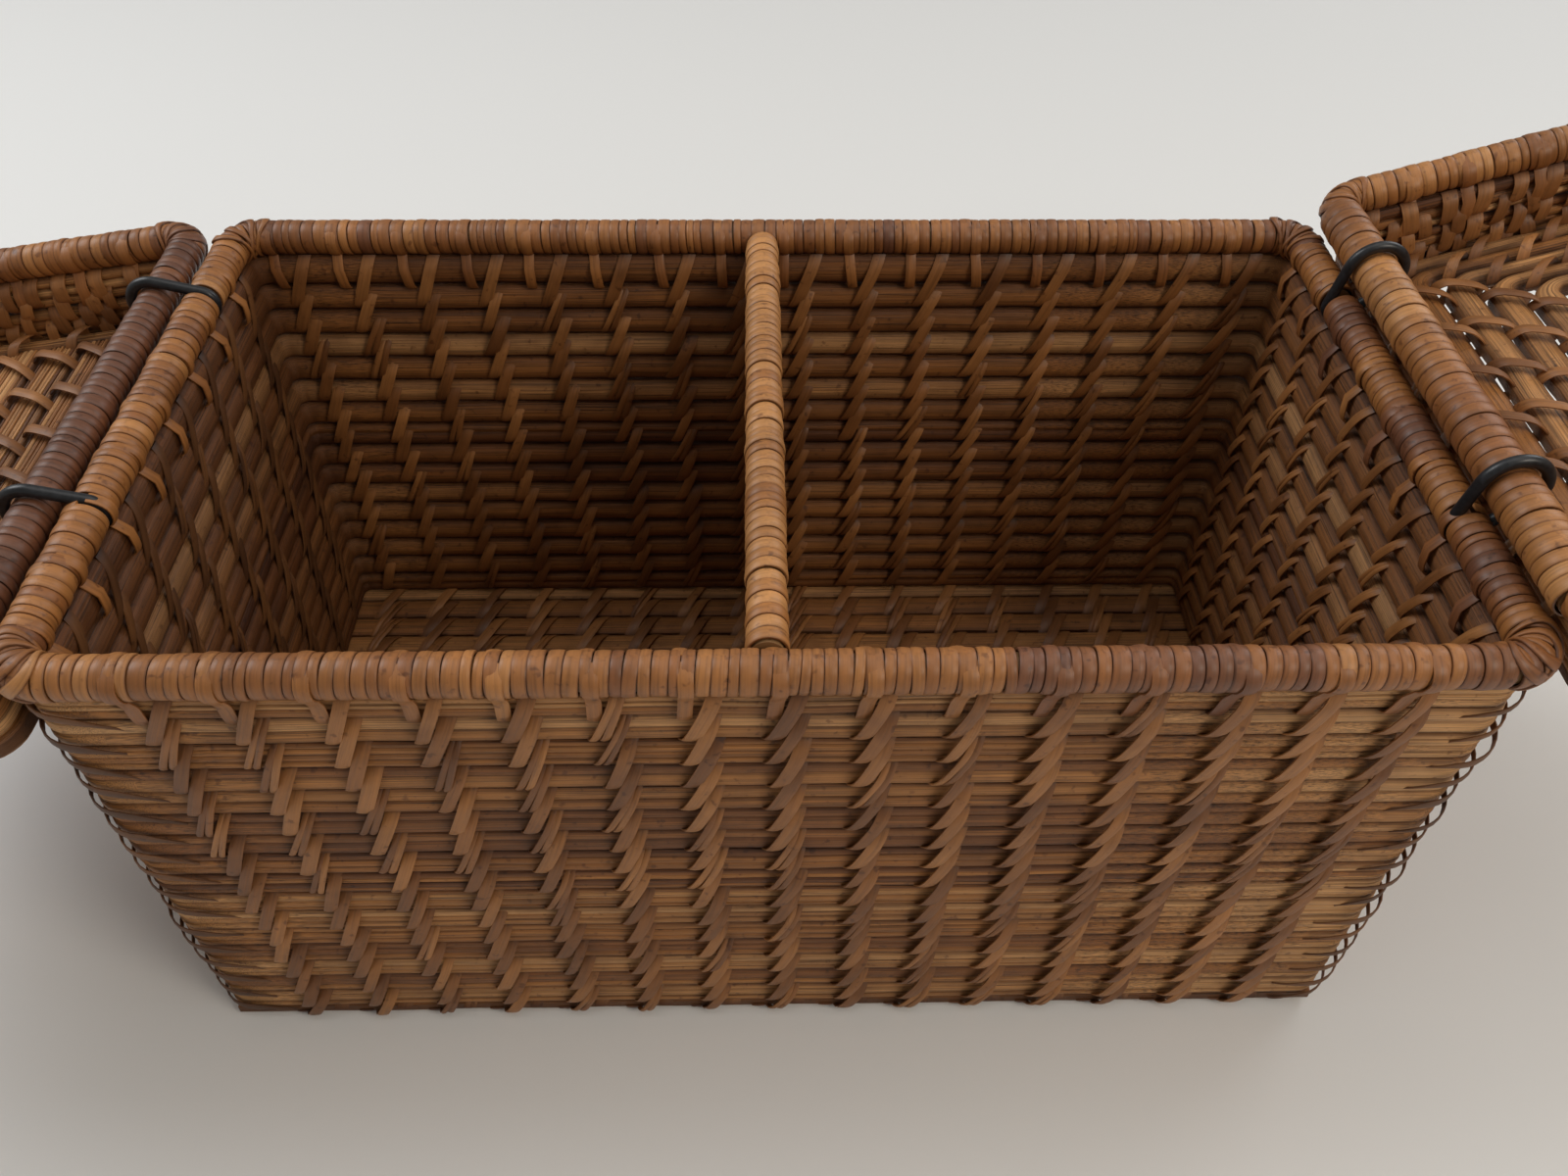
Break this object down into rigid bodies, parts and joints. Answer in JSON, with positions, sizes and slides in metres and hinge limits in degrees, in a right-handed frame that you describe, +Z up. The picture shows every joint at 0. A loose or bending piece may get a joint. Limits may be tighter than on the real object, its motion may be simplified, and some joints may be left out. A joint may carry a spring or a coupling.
{
  "type": "sewing basket",
  "caption": "Rectangular coiled cane sewing basket with a middle divider and a lid over each half, hung on plastic rings and shown open.",
  "frame": {"origin": "centre of the basket's underside, on the surface it stands on", "axes": "+Z up, +X along the basket's length to the right lid, +Y from the front wall to the back wall"},
  "size_m": [0.613, 0.1694, 0.2025],
  "materials": {
    "coiled_splint": "fibrous split cane rows, satin",
    "winding_cane": "varnished flat cane, satin",
    "rattan_rod": "bare rattan, matte",
    "ring_plastic": "black satin plastic"
  },
  "bodies": {
    "basket": {"basket_back_rod": "rattan_rod", "basket_back_wall": "coiled_splint", "basket_back_winding": "winding_cane", "basket_base": "coiled_splint", "basket_corner_lashings": "winding_cane", "basket_front_rod": "rattan_rod", "basket_front_wall": "coiled_splint", "basket_front_winding": "winding_cane", "basket_left_rod": "rattan_rod", "basket_left_wall": "coiled_splint", "basket_left_winding": "winding_cane", "basket_right_rod": "rattan_rod", "basket_right_wall": "coiled_splint", "basket_right_winding": "winding_cane", "basket_rod_corners": "rattan_rod", "basket_wall_corners": "coiled_splint", "divider_panel": "coiled_splint", "divider_rod": "rattan_rod", "divider_winding": "winding_cane"},
    "left_rings": {"left_back_ring": "ring_plastic", "left_front_ring": "ring_plastic"},
    "left_lid": {"left_lid_back_rod": "rattan_rod", "left_lid_back_wall": "coiled_splint", "left_lid_back_winding": "winding_cane", "left_lid_corner_lashings": "winding_cane", "left_lid_free_rod": "rattan_rod", "left_lid_free_wall": "coiled_splint", "left_lid_free_winding": "winding_cane", "left_lid_front_rod": "rattan_rod", "left_lid_front_wall": "coiled_splint", "left_lid_front_winding": "winding_cane", "left_lid_hinge_rod": "rattan_rod", "left_lid_hinge_wall": "coiled_splint", "left_lid_hinge_winding": "winding_cane", "left_lid_panel": "coiled_splint", "left_lid_rod_corners": "rattan_rod", "left_lid_wall_corners": "coiled_splint"},
    "right_rings": {"right_back_ring": "ring_plastic", "right_front_ring": "ring_plastic"},
    "right_lid": {"right_lid_back_rod": "rattan_rod", "right_lid_back_wall": "coiled_splint", "right_lid_back_winding": "winding_cane", "right_lid_corner_lashings": "winding_cane", "right_lid_free_rod": "rattan_rod", "right_lid_free_wall": "coiled_splint", "right_lid_free_winding": "winding_cane", "right_lid_front_rod": "rattan_rod", "right_lid_front_wall": "coiled_splint", "right_lid_front_winding": "winding_cane", "right_lid_hinge_rod": "rattan_rod", "right_lid_hinge_wall": "coiled_splint", "right_lid_hinge_winding": "winding_cane", "right_lid_panel": "coiled_splint", "right_lid_rod_corners": "rattan_rod", "right_lid_wall_corners": "coiled_splint"}
  },
  "joints": [
    {"name": "left_ring_swing", "type": "hinge", "parent": "basket", "child": "left_rings", "pos_m": [-0.15, 0, 0.145], "axis": [0, 1, 0], "range_deg": [0, 90]},
    {"name": "left_lid_turn", "type": "hinge", "parent": "left_rings", "child": "left_lid", "pos_m": [-0.162, 0, 0.145], "axis": [0, 1, 0], "range_deg": [0, 99.7]},
    {"name": "right_ring_swing", "type": "hinge", "parent": "basket", "child": "right_rings", "pos_m": [0.15, 0, 0.145], "axis": [0, -1, 0], "range_deg": [0, 30]},
    {"name": "right_lid_turn", "type": "hinge", "parent": "right_rings", "child": "right_lid", "pos_m": [0.156, 0, 0.15539], "axis": [0, -1, 0], "range_deg": [0, 133.7]}
  ],
  "couplings": [
    {"joint": "left_ring_swing", "follows": "left_lid_turn", "ratio": 0.90271},
    {"joint": "right_ring_swing", "follows": "right_lid_turn", "ratio": 0.22438}
  ]
}
